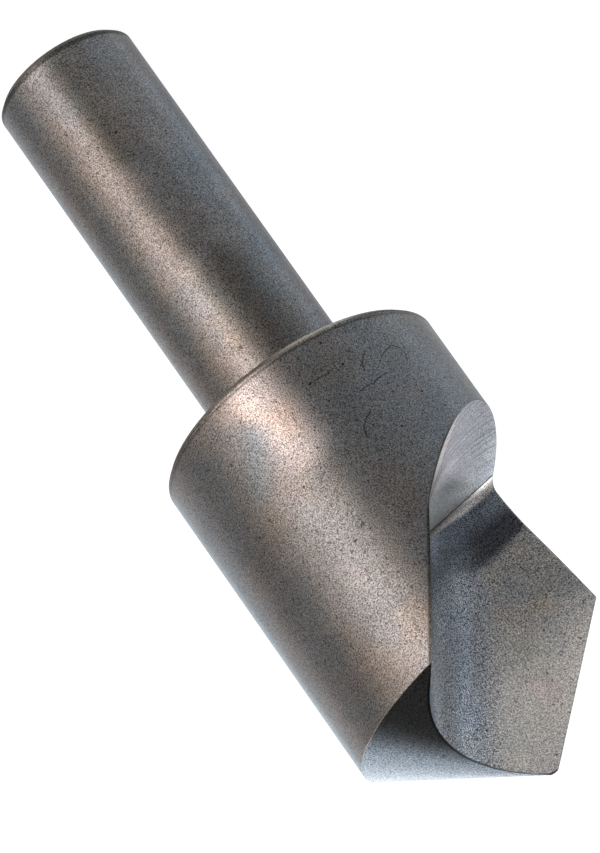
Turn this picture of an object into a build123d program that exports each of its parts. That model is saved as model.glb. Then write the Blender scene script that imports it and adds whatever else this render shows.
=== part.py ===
from build123d import *
import math
import os

os.makedirs("parts", exist_ok=True)

# Single-flute countersink bit, turned and ground from one bar of tool steel.
# It stands on the end of its shank: +Z runs up the axis from that end to the point.
# Bearings are degrees about +Z from +X. Leans are degrees away from +Z.

# straight shank and head
shank_d = 12.7
shank_len = 36.7
head_d = 25.4
point_height = 75.4
end_chamfer = 0.5
shoulder_chamfer = 0.4

# Conical point. Its axis leans about the apex, so the cone falls away round the head:
# that fall is the relief.
point_angle = 99.4
relief_lean = 5.5
relief_bearing = -41.2
tip_flat_d = 0.9

# Flute: one straight gash with two flat sides and a round floor, on a slanted line
# that starts under the point and leaves through the far side of the head.
# Each side is set by the bearing of its normal across the gash and its distance from the apex.
gash_lean = 32.4
gash_bearing = 141.1
face_bearing = 100.4
face_offset = 0.14
side_bearing = 198.0
side_offset = -10.7
gash_floor_r = 8.7

# Back wall that closes the flute towards the shank: the print of a grinding wheel's rim.
# Its middle is set by the lean and bearing of its normal and by two distances from the apex.
wheel_r = 38.5
wheel_turn = 29.6
wall_lean = 45.7
wall_bearing = 156.8
wall_offset = -15.1
wall_shift = -8.0
wall_root_r = 1.05

# how far the cutting bodies reach past the head
reach = 2.5 * head_d

apex = Vector(0, 0, point_height)
half_angle = math.radians(point_angle / 2)


def direction(bearing, lean):
    """Unit vector that leans away from +Z towards a bearing."""
    b = math.radians(bearing)
    a = math.radians(lean)
    return Vector(math.sin(a) * math.cos(b), math.sin(a) * math.sin(b), math.cos(a))


gash_run = direction(gash_bearing, 180 - gash_lean)
gash_plane = Plane(origin=apex, x_dir=gash_run.cross(Vector(0, 1, 0)), z_dir=gash_run)
wall_normal = direction(wall_bearing, wall_lean)
turn = math.radians(wheel_turn)
level = wall_normal.cross(Vector(0, 0, 1)).normalized()
rise = level.cross(wall_normal)
wheel_axis = level * math.cos(turn) + rise * math.sin(turn)
across = rise * math.cos(turn) - level * math.sin(turn)
wall_middle = apex + wall_normal * wall_offset + across * wall_shift

# The two sides of the gash cross at the corner that the floor radius rounds off.
fa = math.radians(face_bearing)
sa = math.radians(side_bearing)
spread = math.sin(sa - fa)
corner_u = (face_offset * math.sin(sa) - side_offset * math.sin(fa)) / spread
corner_v = (side_offset * math.cos(fa) - face_offset * math.cos(sa)) / spread
along_face = (-reach * math.sin(fa), reach * math.cos(fa))
along_side = (reach * math.sin(sa), -reach * math.cos(sa))

with BuildPart() as gash:
    with BuildSketch(gash_plane) as gash_profile:
        with BuildLine():
            Polyline(
                (corner_u, corner_v),
                (corner_u + along_face[0], corner_v + along_face[1]),
                (corner_u + along_face[0] + along_side[0], corner_v + along_face[1] + along_side[1]),
                (corner_u + along_side[0], corner_v + along_side[1]),
                close=True,
            )
        make_face()
        corner = gash_plane.from_local_coords((corner_u, corner_v, 0))
        fillet(gash_profile.vertices().sort_by_distance(corner)[0], gash_floor_r)
    extrude(amount=reach, both=True)
    # The wheel's rim ends the gash, with a root radius where it meets the sides and floor.
    with Locations(Plane(origin=wall_middle + wall_normal * wheel_r, z_dir=wheel_axis)):
        Cylinder(wheel_r, 4 * reach, mode=Mode.INTERSECT)
    wall_face = gash.faces().sort_by_distance(wall_middle)[0]
    fillet(wall_face.edges().sort_by_distance(wall_middle)[0:3], wall_root_r)

with BuildPart() as countersink_bit:
    Cylinder(shank_d / 2, shank_len, align=(Align.CENTER, Align.CENTER, Align.MIN))
    chamfer(countersink_bit.edges().sort_by(Axis.Z)[0], end_chamfer)
    with Locations((0, 0, shank_len)):
        Cylinder(head_d / 2, point_height - shank_len, align=(Align.CENTER, Align.CENTER, Align.MIN))
    shoulder = countersink_bit.edges().filter_by(GeomType.CIRCLE).group_by(SortBy.RADIUS)[-1]
    chamfer(shoulder.sort_by(Axis.Z)[0], shoulder_chamfer)
    # conical point about its leaning axis
    cone_height = 2 * point_height
    with Locations(Plane(origin=apex, z_dir=direction(relief_bearing + 180, relief_lean))):
        Cone(
            cone_height * math.tan(half_angle),
            0,
            cone_height,
            align=(Align.CENTER, Align.CENTER, Align.MAX),
            mode=Mode.INTERSECT,
        )
    add(gash.part, mode=Mode.SUBTRACT)
    # tiny blunt flat at the very tip
    with Locations((0, 0, point_height - tip_flat_d / 2 / math.tan(half_angle))):
        Box(
            head_d,
            head_d,
            head_d,
            align=(Align.CENTER, Align.CENTER, Align.MIN),
            mode=Mode.SUBTRACT,
        )

countersink_bit.part.label = "countersink_bit"
export_step(countersink_bit.part, "parts/countersink_bit.step")
print("volume mm3", countersink_bit.part.volume)
print("box", countersink_bit.part.bounding_box())
print("solids", len(countersink_bit.part.solids()), "valid", countersink_bit.part.is_valid)
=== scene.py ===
import bpy
import math
from types import SimpleNamespace
from mathutils import Matrix, Vector

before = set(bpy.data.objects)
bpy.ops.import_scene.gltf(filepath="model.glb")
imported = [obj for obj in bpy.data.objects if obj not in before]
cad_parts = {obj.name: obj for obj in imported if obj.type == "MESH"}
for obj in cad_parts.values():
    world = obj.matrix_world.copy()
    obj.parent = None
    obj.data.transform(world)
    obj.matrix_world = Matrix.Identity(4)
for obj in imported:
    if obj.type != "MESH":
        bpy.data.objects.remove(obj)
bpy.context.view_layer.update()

MM = 0.001
bit_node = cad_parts["countersink_bit"]

# The bit's own sizes, in millimetres and degrees, which place the marks on its faces.
APEX = Vector((0, 0, 75.4))
TIP_FLAT_Z = 75.0
SHANK_LEN = 36.7
SHANK_R = 6.35
HEAD_R = 12.7
POINT_ANGLE = 99.4
RELIEF_LEAN = 5.5
RELIEF_BEARING = -41.2
GASH_LEAN = 32.4
GASH_BEARING = 141.1
FACE_BEARING = 100.4
FACE_OFFSET = 0.14
SIDE_BEARING = 198.0
SIDE_OFFSET = -10.7
FLOOR_R = 8.7
WHEEL_R = 38.5
WHEEL_TURN = 29.6
WALL_LEAN = 45.7
WALL_BEARING = 156.8
WALL_OFFSET = -15.1
WALL_SHIFT = -8.0


def direction(bearing, lean):
    """Unit vector that leans away from +Z towards a bearing, both in degrees."""
    b = math.radians(bearing)
    a = math.radians(lean)
    return Vector((math.sin(a) * math.cos(b), math.sin(a) * math.sin(b), math.cos(a)))


# Cone: half its angle, and its leaning axis
half_angle = math.radians(POINT_ANGLE / 2)
cone_axis = direction(RELIEF_BEARING + 180, RELIEF_LEAN)

# Gash: the line that it runs along, the normals of its two sides and the centre of its round
# floor, which lies the floor's radius inside both sides
gash_run = direction(GASH_BEARING, 180 - GASH_LEAN)
gash_x = gash_run.cross(Vector((0, 1, 0))).normalized()
gash_y = gash_run.cross(gash_x)


def across_gash(bearing):
    """Unit vector across the gash, at a bearing about its run."""
    b = math.radians(bearing)
    return gash_x * math.cos(b) + gash_y * math.sin(b)


face_normal = across_gash(FACE_BEARING)
side_normal = across_gash(SIDE_BEARING)
overlap = face_normal.dot(side_normal)
from_face = FACE_OFFSET + FLOOR_R
from_side = SIDE_OFFSET + FLOOR_R
floor_centre = APEX + (
    face_normal * (from_face - from_side * overlap) + side_normal * (from_side - from_face * overlap)
) / (1 - overlap**2)

# Grinding wheel that ends the gash: its axis and centre
wall_normal = direction(WALL_BEARING, WALL_LEAN)
level = wall_normal.cross(Vector((0, 0, 1))).normalized()
rise = level.cross(wall_normal)
turn = math.radians(WHEEL_TURN)
wheel_axis = level * math.cos(turn) + rise * math.sin(turn)
wall_across = rise * math.cos(turn) - level * math.sin(turn)
wheel_centre = APEX + wall_normal * (WALL_OFFSET + WHEEL_R) + wall_across * WALL_SHIFT

# Camera: a long lens in front of the bit and above it, rolled so that the shank points to the
# upper left. Pixels are those of the photograph.
PICTURE = (600, 853)
FOCAL_PX = 9449.8
SENSOR_MM = 36
TARGET = Vector((0, 0, 33)) * MM
TARGET_PX = (275.25, 376.23)
DISTANCE = 768.9 * MM
FROM_VERTICAL = math.radians(66.44)
ROLL = math.radians(144.74)
NEAR_CLIP = 0.01


def through(pixel):
    """Line of sight of a pixel, in the camera's own axes."""
    return Vector((pixel[0] - PICTURE[0] / 2, PICTURE[1] / 2 - pixel[1], -FOCAL_PX))


def aim_camera():
    back = Vector((0, -math.sin(FROM_VERTICAL), math.cos(FROM_VERTICAL)))
    up = Vector((0, math.cos(FROM_VERTICAL), math.sin(FROM_VERTICAL)))
    right = up.cross(back)
    turned_right = right * math.cos(ROLL) + up * math.sin(ROLL)
    turned_up = up * math.cos(ROLL) - right * math.sin(ROLL)
    square_on = Matrix((turned_right, turned_up, back)).transposed()
    # the small turn that brings the target to its place in the picture
    pan = Vector((0, 0, -1)).rotation_difference(through(TARGET_PX))

    data = bpy.data.cameras.new("camera")
    data.lens = FOCAL_PX * SENSOR_MM / PICTURE[1]
    data.clip_start = NEAR_CLIP
    made = bpy.data.objects.new("camera", data)
    bpy.context.scene.collection.objects.link(made)
    aimed = (square_on @ pan.inverted().to_matrix()).to_4x4()
    made.matrix_world = Matrix.Translation(TARGET + back * DISTANCE) @ aimed
    bpy.context.scene.camera = made
    return made


camera = aim_camera()
eye = camera.matrix_world.translation / MM


def on_turned(pixel):
    """Where a pixel falls on the head or the shank, as (round the surface, height) in millimetres."""
    sight = camera.matrix_world.to_3x3() @ through(pixel)
    for radius in (HEAD_R, SHANK_R):
        a = sight.x**2 + sight.y**2
        b = eye.x * sight.x + eye.y * sight.y
        c = eye.x**2 + eye.y**2 - radius**2
        place = eye - sight * (b + math.sqrt(b * b - a * c)) / a
        if place.z > SHANK_LEN:
            break
    return (math.atan2(place.x, -place.y) * radius, place.z)


def on_flat_face(pixel):
    """Where a pixel falls on the flat face of the flute."""
    sight = camera.matrix_world.to_3x3() @ through(pixel)
    return eye + sight * (FACE_OFFSET - (eye - APEX).dot(face_normal)) / sight.dot(face_normal)


class Shader:
    """Builds the nodes of one material, with each node linked as it is made."""

    def __init__(self, name):
        self.material = bpy.data.materials.new(name)
        self.material.use_nodes = True
        self.tree = self.material.node_tree
        self.tree.nodes.clear()

    def put(self, socket, value):
        """A socket drives the input, and a number, vector or colour is set on it."""
        if isinstance(value, bpy.types.NodeSocket):
            self.tree.links.new(value, socket)
        elif isinstance(value, (int, float)):
            socket.default_value = value
        else:
            size = len(socket.default_value)
            socket.default_value = (tuple(value) + (1,))[:size]

    def node(self, kind, inputs=(), **settings):
        made = self.tree.nodes.new("ShaderNode" + kind)
        for key, value in settings.items():
            setattr(made, key, value)
        for key, value in dict(inputs).items():
            self.put(made.inputs[key], value)
        return made

    def surface(self, socket):
        out = self.node("OutputMaterial")
        self.put(out.inputs["Surface"], socket)

    def math(self, operation, *values):
        return self.node("Math", enumerate(values), operation=operation).outputs[0]

    def times(self, *values):
        out = values[0]
        for value in values[1:]:
            out = self.math("MULTIPLY", out, value)
        return out

    def invert(self, mask):
        return self.math("SUBTRACT", 1.0, mask)

    def vector(self, operation, *values):
        made = self.node("VectorMath", enumerate(values), operation=operation)
        return made.outputs["Value" if operation in ("DOT_PRODUCT", "LENGTH") else "Vector"]

    def ramp(self, value, start, end, low=0.0, high=1.0):
        """Smooth step from low at start to high at end."""
        given = {"Value": value, "From Min": start, "From Max": end, "To Min": low, "To Max": high}
        return self.node("MapRange", given, interpolation_type="SMOOTHSTEP").outputs["Result"]

    def near(self, value, centre, half_width):
        """1 where the value is at the centre, 0 from half_width away."""
        gap = self.math("ABSOLUTE", self.math("SUBTRACT", value, centre))
        return self.ramp(gap, half_width, 0.4 * half_width)

    def between(self, mask, low, high):
        """Number that is low where the mask is 0 and high where it is 1."""
        return self.node("Mix", {0: mask, 2: low, 3: high}).outputs[0]

    def tint(self, mask, base, colour, blend="MIX"):
        """The base colour, with the other one over it where the mask is 1."""
        made = self.node("Mix", data_type="RGBA", blend_type=blend)
        for socket, value in ((made.inputs[0], mask), (made.inputs[6], base), (made.inputs[7], colour)):
            self.put(socket, value)
        return made.outputs[2]

    def shade(self, mask, base, factor):
        """The base colour, multiplied by the factor where the mask is 1."""
        return self.tint(mask, base, factor, "MULTIPLY")

    def noise(self, where, scale, detail, roughness=0.5, offset=None):
        """Noise field. The offset moves it, so that fields of like scale don't line up."""
        if offset:
            where = self.vector("ADD", where, offset)
        given = {"Vector": where, "Scale": scale, "Detail": detail, "Roughness": roughness}
        return self.node("TexNoise", given).outputs["Fac"]

    def from_line(self, where, point, along):
        """Distance from a line."""
        seen = self.vector("SUBTRACT", where, point)
        return self.vector("LENGTH", self.vector("CROSS_PRODUCT", seen, along))

    def from_segment(self, where, start, end):
        """Distance from a straight piece between two points of the unrolled surface."""
        span = Vector(end) - Vector(start)
        seen = self.vector("SUBTRACT", where, start + (0,))
        share = self.vector("DOT_PRODUCT", seen, (span / span.length_squared).to_tuple() + (0,))
        share = self.node("Clamp", {0: share}).outputs[0]
        given = {0: span.to_tuple() + (0,), "Scale": share}
        closest = self.node("VectorMath", given, operation="SCALE").outputs[0]
        return self.vector("LENGTH", self.vector("SUBTRACT", seen, closest))


# Handling marks on the turned surfaces, at the pixels where the photograph shows them.
# Each scratch is a row of joined points.
SCRATCHES = (
    ((310, 384), (319, 378), (330, 373)),
    ((360, 391), (374, 382), (387, 372)),
    ((381, 358), (385, 351), (391, 345), (401, 348), (405, 353), (407, 360)),
    ((365, 351), (362, 361), (365, 371)),
    ((371, 410), (366, 419), (364, 427), (367, 437)),
    ((101, 125), (109, 124)),
    ((204, 498), (208, 508)),
    ((293, 418), (296, 421)),
    ((449, 373), (452, 377)),
)
PITS = (
    (310, 384), (304, 487), (343, 364), (321, 343), (422, 391),
    (402, 426), (415, 326), (355, 541), (260, 538), (116, 132),
)

# Soft patches on the flat face of the flute: the pixel at the middle, the reach in millimetres
# and the factor on the colour.
TONES = (
    ((510, 590), 2.4, (0.94, 0.99, 1.05)),
    ((548, 687), 2.2, (1.07, 0.985, 0.98)),
    ((526, 650), 1.6, (0.84, 0.88, 0.86)),
    ((489, 585), 1.8, (1.08, 1.03, 0.93)),
    ((562, 580), 2.6, (0.80, 0.84, 0.88)),
    ((540, 606), 1.6, (1.06, 1.02, 0.95)),
)


def measure_places(s, at):
    """Where a point is: its place in millimetres, its radius and angle, and the surface unrolled."""
    at.coords = s.node("TexCoord").outputs["Object"]
    at.where = s.vector("MULTIPLY", at.coords, (1 / MM, 1 / MM, 1 / MM))
    split = s.node("SeparateXYZ", {0: at.where}).outputs
    at.x = split["X"]
    at.z = split["Z"]
    at.radius = s.vector("LENGTH", s.vector("MULTIPLY", at.where, (1, 1, 0)))
    # radians, 0 in front and growing towards +X
    at.angle = s.math("ARCTAN2", at.x, s.math("MULTIPLY", split["Y"], -1.0))
    at.unrolled = s.node("CombineXYZ", {0: s.times(at.angle, at.radius), 1: at.z}).outputs[0]


def measure_faces(s, at):
    """Distances from the ground faces, and masks of the cone, the flute, its back wall and the shank."""
    from_apex = s.vector("SUBTRACT", at.where, APEX)
    cone_rise = s.vector("DOT_PRODUCT", from_apex, cone_axis)
    cone_out = s.vector("LENGTH", s.vector("CROSS_PRODUCT", from_apex, cone_axis))
    cone_gap = s.math(
        "ADD",
        s.math("MULTIPLY", cone_out, math.cos(half_angle)),
        s.math("MULTIPLY", cone_rise, math.sin(half_angle)),
    )
    at.face_gap = s.math("SUBTRACT", s.vector("DOT_PRODUCT", from_apex, face_normal), FACE_OFFSET)
    at.side_gap = s.math("SUBTRACT", s.vector("DOT_PRODUCT", from_apex, side_normal), SIDE_OFFSET)
    at.floor_gap = s.math("SUBTRACT", s.from_line(at.where, floor_centre, gash_run), FLOOR_R)
    at.wheel_gap = s.math("SUBTRACT", WHEEL_R, s.from_line(at.where, wheel_centre, wheel_axis))
    from_wheel = s.vector("SUBTRACT", at.where, wheel_centre)
    at.across_wall = s.vector("DOT_PRODUCT", from_wheel, wheel_axis)
    # 0 at the flat face and at the round floor, and negative in the gash between them
    at.step = s.times(at.floor_gap, at.face_gap)

    at.on_cone = s.times(s.near(cone_gap, 0, 0.1), s.ramp(at.z, 55, 56))
    in_head = s.ramp(at.z, SHANK_LEN + 0.1, SHANK_LEN + 0.5)
    inside = s.ramp(at.radius, HEAD_R - 0.03, HEAD_R - 0.06)
    at.in_flute = s.times(in_head, inside, s.invert(at.on_cone))
    at.on_wall = s.times(at.in_flute, s.ramp(at.wheel_gap, 0.1, 0.03), s.ramp(at.step, -1.15, -1.25))
    at.on_shank = s.ramp(at.radius, SHANK_R + 1.65, SHANK_R + 0.25)
    # 1 beside the round floor of the gash, 0 beside its flat face
    at.in_corner = s.ramp(at.side_gap, FLOOR_R + 0.1, FLOOR_R - 0.1)

    # painted highlight band at the root of the wall, and the corner of the wall painted light, which is
    # only half metallic
    band_width = s.ramp(at.face_gap, 0.6, 5.0, low=0.42, high=0.16)
    at.bright = s.ramp(s.math("DIVIDE", at.wheel_gap, band_width), 1.55, 0.55)
    at.pale_corner = s.times(
        s.ramp(at.floor_gap, -3.4, -1.2),
        s.ramp(at.side_gap, 5.8, 4.2),
        s.ramp(at.across_wall, -17, -15.2),
    )


def measure_noise(s, at):
    """Noise fields: blasted grain, fine dots, clouds, patches and pits."""
    at.grain = s.noise(at.where, scale=8.2, detail=1.5, roughness=0.6)
    at.dots = s.noise(at.where, scale=12.5, detail=1.0, roughness=0.6, offset=(3, 17, 40))
    at.cloud = s.noise(at.where, scale=0.13, detail=3.0, roughness=0.55)
    at.patch = s.noise(at.where, scale=0.34, detail=3.0, roughness=0.6, offset=(31, 7, 12))
    at.pits = s.ramp(s.noise(at.where, scale=2.8, detail=1.0, offset=(5, 50, 9)), 0.70, 0.75)


def streak(s, at, start, end, reach, core):
    """Mask along a straight piece of the unrolled surface: 1 up to core from it, 0 from reach on."""
    return s.ramp(s.from_segment(at.unrolled, start, end), reach, core)


def turned_colour(s, at):
    """Turned and blasted surfaces, with a bluish and a pale patch on the head, and painted light and
    shade on the flanks.
    """
    warm = (0.170, 0.160, 0.153)
    cool = (0.152, 0.161, 0.168)
    darker = (0.86, 0.86, 0.87)
    blue = (0.125, 0.150, 0.170)
    pale = (0.22, 0.20, 0.185)
    colour = s.tint(s.ramp(at.cloud, 0.36, 0.64), warm, cool)
    colour = s.shade(s.ramp(at.patch, 0.3, 0.7), colour, darker)
    blue_patch = streak(s, at, (4.5, 41.8), (6.8, 45.4), reach=2.2, core=0.2)
    colour = s.tint(s.times(blue_patch, 0.75), colour, blue)
    pale_patch = streak(s, at, (4.9, 38.2), (3.6, 39.2), reach=2.0, core=0.2)
    colour = s.tint(s.times(pale_patch, 0.6), colour, pale)

    # Painted light and shade: the far flank is lighter and cooler and the near one darker and browner,
    # with painted highlight streaks and painted shade streaks between them, and painted shade at the far
    # edge of the shank
    painted_cool_light_flank = s.times(s.ramp(at.angle, -1.25, -0.95), s.ramp(at.angle, -0.22, -0.65))
    painted_shade_flank = s.times(s.ramp(at.angle, 0.7, 0.95), s.ramp(at.angle, 1.9, 1.4))
    painted_highlight_streak = streak(s, at, (0.2, 24.0), (0.3, 36.0), reach=2.2, core=0.3)
    painted_highlight_head = streak(s, at, (1.9, 38.5), (1.2, 44.5), reach=3.3, core=0.5)
    painted_shade_edge = s.times(s.ramp(at.angle, -1.0, -1.25), at.on_shank)
    painted_shade_streak = streak(s, at, (0.1, 2.0), (0.0, 12.0), reach=1.6, core=0.3)
    for mask, factor in (
        (painted_cool_light_flank, (1.34, 1.44, 1.54)),
        (painted_shade_flank, (0.97, 0.92, 0.87)),
        (painted_highlight_streak, (1.46, 1.42, 1.38)),
        (painted_highlight_head, (2.15, 2.0, 1.97)),
        (painted_shade_edge, (0.84, 0.84, 0.87)),
        (painted_shade_streak, (0.74, 0.74, 0.71)),
    ):
        colour = s.shade(mask, colour, factor)
    return colour


def cone_colour(s, at):
    """Relief cone: painted shade behind the near rim, grey turning brown, and painted light round the far
    side.
    """
    grey_painted_shade = (0.15, 0.145, 0.14)
    brown_painted_shade = (0.08, 0.07, 0.06)
    bright = (0.41, 0.42, 0.43)
    dark = s.tint(s.ramp(at.angle, 0.4, 0.72), grey_painted_shade, brown_painted_shade)
    behind_rim = s.times(s.ramp(at.angle, 1.15, 0.75), s.ramp(at.angle, -1.2, -0.6))
    return s.tint(behind_rim, bright, dark)


def flute_colour(s, at):
    """Flute: warm grey flat face, bluish round floor whose tint is a painted reflection, dark painted
    shade in front of the root, and a painted highlight along the root.
    """
    face_pale = (0.435, 0.412, 0.39)
    face_dull = (0.385, 0.378, 0.37)
    floor_blue_reflection = (0.40, 0.44, 0.50)
    floor_grey = (0.45, 0.47, 0.505)
    steel_blue_shade = (0.14, 0.16, 0.195)
    root_shade_dark = (0.026, 0.029, 0.039)
    bright = (0.66, 0.60, 0.55)

    mottled = s.ramp(at.patch, 0.4, 0.6)
    face = s.tint(mottled, face_pale, face_dull)
    # painted shade: the flat face darker towards the root and lighter towards the tip
    face = s.shade(1.0, face, s.ramp(at.z, 57.5, 69, low=0.62, high=1.5))
    # the round floor's bluish tint is a painted cool reflection
    floor = s.tint(mottled, floor_blue_reflection, floor_grey)
    # painted shade: the round floor a little darker towards the root
    floor = s.shade(1.0, floor, s.ramp(at.z, 60, 70, low=0.94, high=1.1))
    colour = s.tint(s.ramp(at.face_gap, 0.25, 1.8), face, floor)

    # a painted blue shade band in front of the root, and darker painted shade on it, narrower and thinner
    # up the round
    blue_shade_band = s.ramp(at.wheel_gap, 3.6, 1.6, high=0.92)
    colour = s.tint(blue_shade_band, colour, steel_blue_shade)
    spread = s.ramp(at.face_gap, -0.5, 4.5, low=1.75, high=0.8)
    from_root = s.math("DIVIDE", at.wheel_gap, spread)
    thinning = s.ramp(at.face_gap, 3.4, 0.6, low=0.18, high=0.9)
    root_shade = s.times(s.ramp(from_root, 0.8, 1.7), s.ramp(from_root, 2.95, 2.4), thinning)
    colour = s.tint(root_shade, colour, root_shade_dark)
    for pixel, reach, factor in TONES:
        gap = s.vector("LENGTH", s.vector("SUBTRACT", at.where, on_flat_face(pixel)))
        colour = s.shade(s.ramp(gap, reach, 0.3 * reach), colour, factor)

    # painted shade where the face turns into the floor, painted light up the round, and a painted
    # highlight along the root
    crease_shade = s.times(s.near(at.face_gap, 2.3, 1.9), s.ramp(at.z, 62, 70, low=0.36, high=0.15))
    round_light = s.times(s.ramp(at.face_gap, 3.9, 5.4), s.ramp(at.z, 62, 69, low=1.2, high=0.15))
    colour = s.shade(1.0, colour, s.times(s.math("ADD", round_light, 1.0), s.invert(crease_shade)))
    return s.tint(at.bright, colour, bright)


def wall_colour(s, at):
    """Back wall with the marks of the grinding wheel, and a thin dark line along its root."""
    mark_dark = (0.31, 0.31, 0.33)
    mark_pale = (0.49, 0.49, 0.51)
    corner_painted_light = (0.95, 0.94, 0.91)
    root_dark = (0.04, 0.035, 0.03)
    marks_where = s.node("CombineXYZ", {0: at.across_wall, 1: s.times(at.z, 0.04)}).outputs[0]
    marks = s.noise(marks_where, scale=3.6, detail=2.0, roughness=0.6)
    colour = s.tint(s.ramp(marks, 0.35, 0.65), mark_dark, mark_pale)
    # painted light on the lower corner of the wall, which the lip shades
    colour = s.tint(at.pale_corner, colour, corner_painted_light)
    return s.tint(s.near(at.step, -1.4, 0.3), colour, root_dark)


def edge_lines(s, at, colour):
    """A light burr along the flute with a painted highlight on it, and painted shadow as a dark broken
    line outside it and on the relief beside it.
    """
    burr_highlight_pale = (0.6, 0.6, 0.62)
    heel_shadow_dark = (0.02, 0.02, 0.022)
    edge_shadow_dark = (0.015, 0.015, 0.015)
    # pale burr along the flute's rim, with a painted highlight on it
    burr_and_highlight = s.times(at.in_flute, s.ramp(at.radius, HEAD_R - 0.16, HEAD_R - 0.08, high=0.3))
    colour = s.tint(burr_and_highlight, colour, burr_highlight_pale)

    past_gash = s.between(at.in_corner, s.math("MULTIPLY", at.face_gap, -1.0), at.floor_gap)
    # painted shadow along the heel on the relief
    heel_shadow = s.times(
        at.on_cone,
        s.near(past_gash, 0.1, 0.14),
        s.ramp(at.side_gap, 10.6, 10.2, high=0.85),
    )
    colour = s.tint(heel_shadow, colour, heel_shadow_dark)

    # painted shadow along the outer edges of the gash's side and the wall, broken up by the grain
    side_edge = s.times(s.near(at.side_gap, 0.0, 0.34), s.ramp(at.wheel_gap, -0.1, 0.1), at.in_corner)
    wall_edge = s.times(
        s.near(at.wheel_gap, 0.0, 0.2),
        s.ramp(at.side_gap, -0.1, 0.1),
        s.ramp(at.z, 48, 50, high=0.7),
    )
    broken_edge_shadow = s.times(
        s.invert(at.in_flute),
        s.invert(at.on_cone),
        s.math("MAXIMUM", side_edge, wall_edge),
        s.ramp(at.face_gap, 0.2, 1.0),
        s.ramp(at.grain, 0.42, 0.56, low=0.25),
    )
    return s.tint(broken_edge_shadow, colour, edge_shadow_dark)


def painted_shade_at_ends(s, at, colour):
    """Painted shade on the end chamfer, the shoulder's chamfer and the shank close to the head, a painted
    highlight on one stretch of the shoulder's chamfer, a dark line above it and a brown tip.
    """
    end_shade_dark = (0.035, 0.034, 0.03)
    shade_brown = (0.05, 0.045, 0.04)
    painted_dark_factor = (0.66, 0.62, 0.58)
    chamfer_shade_dark = (0.06, 0.052, 0.045)
    chamfer_highlight_beige = (0.33, 0.31, 0.28)
    line_dark = (0.04, 0.035, 0.03)
    tip_brown = (0.24, 0.19, 0.18)

    # painted shade darkening the end chamfer of the shank
    end_ring = s.times(s.ramp(at.z, 1.0, 0.8), s.ramp(at.radius, SHANK_R - 1.0, SHANK_R - 0.6, high=0.75))
    colour = s.tint(end_ring, colour, end_shade_dark)

    # painted shade on the shank close to the head
    shade_under_head = s.times(
        s.ramp(at.z, 34.5, SHANK_LEN),
        s.ramp(at.z, SHANK_LEN + 0.1, SHANK_LEN),
        at.on_shank,
        s.ramp(at.angle, 0.2, -0.5, low=0.45, high=0.75),
    )
    colour = s.tint(shade_under_head, colour, shade_brown)
    # painted shade: a darker streak on the shank beside the highlight, up to the head
    painted_dark_streak = s.times(
        streak(s, at, (-2.2, 25.0), (-2.8, 37.0), reach=3.2, core=0.5),
        at.on_shank,
        s.ramp(at.z, SHANK_LEN + 0.1, SHANK_LEN - 0.1),
    )
    colour = s.shade(painted_dark_streak, colour, painted_dark_factor)

    # painted shade makes the shoulder's chamfer dark, with a painted beige highlight on one stretch and a
    # dark line above it
    chamfer = s.times(
        s.near(at.z, SHANK_LEN + 0.22, 0.42),
        s.ramp(at.radius, HEAD_R - 1.0, HEAD_R - 0.6, high=0.9),
    )
    highlight_stretch = s.times(s.ramp(at.x, 1.0, -3.5), s.ramp(at.x, -9.5, -6.0))
    colour = s.tint(chamfer, colour, s.tint(highlight_stretch, chamfer_shade_dark, chamfer_highlight_beige))
    above_chamfer = s.times(
        s.near(at.z, SHANK_LEN + 0.72, 0.16),
        s.ramp(at.radius, HEAD_R - 0.3, HEAD_R - 0.2, high=0.55),
    )
    colour = s.tint(above_chamfer, colour, line_dark)
    return s.tint(s.ramp(at.z, TIP_FLAT_Z - 0.05, TIP_FLAT_Z), colour, tip_brown)


def grain_over(s, at, colour):
    """Light and dark grain over everything, strongest on the round floor of the flute."""
    outside = 1.12
    on_floor = 2.0
    on_wall = 1.0
    pit_dark = (0.03, 0.03, 0.03)
    coarse = s.ramp(at.grain, 0.3, 0.7, low=0.55, high=1.45)
    fine = s.ramp(at.dots, 0.3, 0.7, low=-0.4, high=0.4)
    on_face = s.ramp(at.z, 58, 68, low=1.45, high=0.95)
    strength = s.between(s.ramp(at.face_gap, 0.3, 1.5), on_face, on_floor)
    strength = s.between(s.math("MAXIMUM", at.on_wall, at.bright), strength, on_wall)
    strength = s.between(at.in_flute, outside, strength)
    speckle = s.times(s.math("SUBTRACT", s.math("ADD", coarse, fine), 1.0), strength)
    colour = s.shade(1.0, colour, s.math("ADD", speckle, 1.0))
    return s.tint(s.times(at.pits, 0.75), colour, pit_dark)


def nearest(s, gaps):
    """The smallest of some distances."""
    out = gaps[0]
    for gap in gaps[1:]:
        out = s.math("MINIMUM", out, gap)
    return out


def handling_marks(s, at, colour):
    """Scratches and single pits, with edges that the grain makes uneven."""
    scratch_dark = (0.03, 0.03, 0.03)
    pit_dark = (0.02, 0.02, 0.02)
    wobble = s.times(s.math("SUBTRACT", at.grain, 0.5), 0.16)
    scratch_gaps = []
    for pixels in SCRATCHES:
        places = [on_turned(pixel) for pixel in pixels]
        for start, end in zip(places, places[1:]):
            scratch_gaps.append(s.from_segment(at.unrolled, start, end))
    scratch = s.math("ADD", nearest(s, scratch_gaps), wobble)
    colour = s.tint(s.ramp(scratch, 0.09, 0.02, high=0.75), colour, scratch_dark)

    pit_gaps = []
    for pixel in PITS:
        from_pit = s.vector("SUBTRACT", at.unrolled, on_turned(pixel) + (0,))
        pit_gaps.append(s.vector("LENGTH", from_pit))
    pit = s.math("ADD", nearest(s, pit_gaps), wobble)
    return s.tint(s.ramp(pit, 0.17, 0.08, high=0.85), colour, pit_dark)


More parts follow.
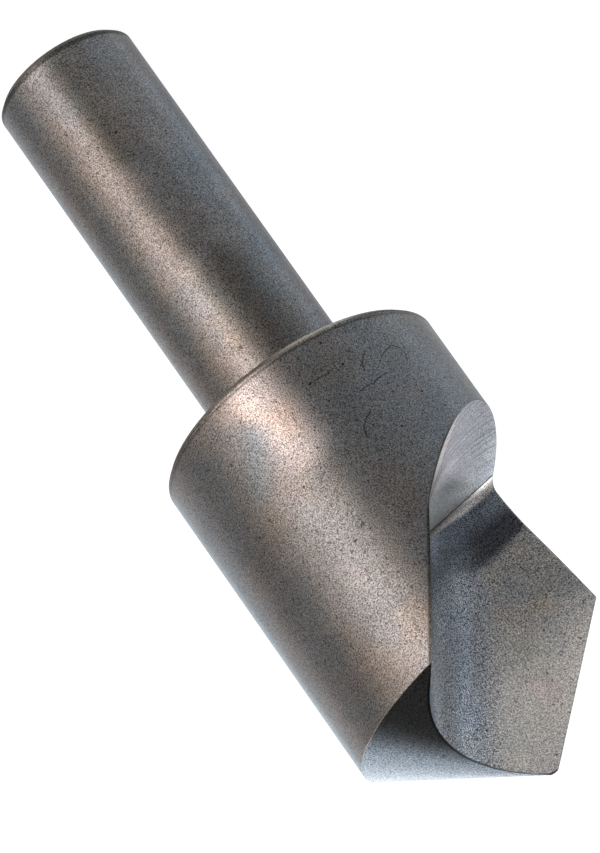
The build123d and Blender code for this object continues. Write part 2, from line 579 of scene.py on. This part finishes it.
def build_steel():
    s = Shader("tool_steel")
    at = SimpleNamespace()
    measure_places(s, at)
    measure_faces(s, at)
    measure_noise(s, at)

    colour = turned_colour(s, at)
    colour = s.tint(at.on_cone, colour, cone_colour(s, at))
    colour = s.tint(at.in_flute, colour, flute_colour(s, at))
    colour = s.tint(at.on_wall, colour, wall_colour(s, at))
    colour = edge_lines(s, at, colour)
    colour = painted_shade_at_ends(s, at, colour)
    colour = grain_over(s, at, colour)
    colour = handling_marks(s, at, colour)

    # the highlight stretches along the axis, outwards on the flat ends, and round the cone
    outwards = s.vector("ADD", s.vector("MULTIPLY", at.coords, (8, 8, 0)), (0, 0, 1))
    ring = s.vector("CROSS_PRODUCT", s.vector("MULTIPLY", at.coords, (100, 100, 0)), (0, 0, 1))
    along = s.node("Mix", {0: at.on_cone, 4: outwards, 5: ring}, data_type="VECTOR").outputs[1]
    bump = s.node("Bump", {"Strength": 0.4, "Distance": 0.03 * MM, "Height": at.grain})
    made = s.node("BsdfPrincipled", {
        "Base Color": colour,
        "Metallic": s.invert(s.times(at.on_wall, at.pale_corner, 0.5)),
        "Roughness": 0.5,
        "Anisotropic": 0.8,
        "Normal": bump.outputs[0],
        "Tangent": s.vector("NORMALIZE", along),
    })
    s.surface(made.outputs[0])
    return s.material


steel = build_steel()
for slot in bit_node.material_slots:
    slot.material = steel


FLOOR_HALF = 3
PAINTED_POOL_CENTRE = (0, 0.09, 0)


def build_floor():
    """A pale floor with a painted pool of light: its glow is whitest in a round pool behind the bit."""
    corners = [(x * FLOOR_HALF, y * FLOOR_HALF, 0) for x, y in ((-1, -1), (1, -1), (1, 1), (-1, 1))]
    mesh = bpy.data.meshes.new("floor")
    mesh.from_pydata(corners, [], [(0, 1, 2, 3)])
    floor = bpy.data.objects.new("floor", mesh)
    bpy.context.scene.collection.objects.link(floor)

    s = Shader("floor")
    coords = s.node("TexCoord").outputs["Object"]
    from_pool = s.vector("LENGTH", s.vector("SUBTRACT", coords, PAINTED_POOL_CENTRE))
    # painted pool of light: the floor glows whiter near the pool's centre
    painted_pool_light = s.ramp(from_pool, 0.12, 0.2, low=0.93, high=0.6)
    rays = s.node("LightPath").outputs
    mirrored = s.math("MAXIMUM", rays["Is Glossy Ray"], rays["Is Transmission Ray"])
    seen = s.math("MAXIMUM", rays["Is Camera Ray"], mirrored)
    emission = s.node("Emission", {"Color": (1, 1, 1), "Strength": s.times(seen, painted_pool_light)})
    diffuse = s.node("BsdfDiffuse", {"Color": (0.3, 0.3, 0.3)})
    s.surface(s.node("AddShader", {0: diffuse.outputs[0], 1: emission.outputs[0]}).outputs[0])
    mesh.materials.append(s.material)


build_floor()

# Square soft lamps aimed at the bit: name, bearing, elevation and radiance. The bearing is 0 in
# front of the bit and 90 towards +X, in degrees.
LAMP_TARGET = Vector((0, 0, 0.045))
LAMP_DISTANCE = 0.55
LAMP_CLEARANCE = 0.005
LOW = 5
HIGH = 25
LAMP_SIZE = {LOW: 0.12, HIGH: 0.16}
LAMPS = (
    ("key", 30, LOW, (43.5, 37.4, 34.8)),
    ("key_right", 15, LOW, (23, 18.5, 14.8)),
    ("key_left", 45, LOW, (22.5, 17.4, 15.2)),
    ("edge_left", 60, LOW, (10.9, 7.9, 5.2)),
    ("far_left", 120, LOW, (7.5, 7, 7.6)),
    ("back_left", 150, LOW, (15.5, 20, 23.5)),
    ("back_left_high", 140, HIGH, (3.3, 4, 4.8)),
    ("back_right_high", -140, HIGH, (8.2, 8.8, 9.4)),
    ("back_right", -165, LOW, (3.2, 3.2, 3.5)),
    ("side_right", -105, LOW, (2.2, 2.7, 3.1)),
)
WORLD_STRENGTH = 0.1


def place_lamp(name, bearing, elevation, radiance):
    size = LAMP_SIZE[elevation]
    a = math.radians(bearing)
    e = math.radians(elevation)
    outwards = Vector((math.sin(a) * math.cos(e), -math.cos(a) * math.cos(e), math.sin(e)))
    place = LAMP_TARGET + LAMP_DISTANCE * outwards
    place.z = max(place.z, size / 2 + LAMP_CLEARANCE)
    strongest = max(radiance)
    data = bpy.data.lights.new(name, "AREA")
    data.shape = "SQUARE"
    data.size = size
    data.energy = math.pi * size**2 * strongest
    data.color = [c / strongest for c in radiance]
    light = bpy.data.objects.new(name, data)
    light.location = place
    light.rotation_euler = (LAMP_TARGET - place).to_track_quat("-Z", "Y").to_euler()
    light.visible_camera = False
    bpy.context.scene.collection.objects.link(light)


def build_world():
    world = bpy.data.worlds.new("world")
    world.use_nodes = True
    background = world.node_tree.nodes["Background"].inputs
    background["Color"].default_value = (1, 1, 1, 1)
    background["Strength"].default_value = WORLD_STRENGTH
    bpy.context.scene.world = world


for name, bearing, elevation, radiance in LAMPS:
    place_lamp(name, bearing, elevation, radiance)
build_world()
bpy.context.scene.view_settings.view_transform = "Standard"
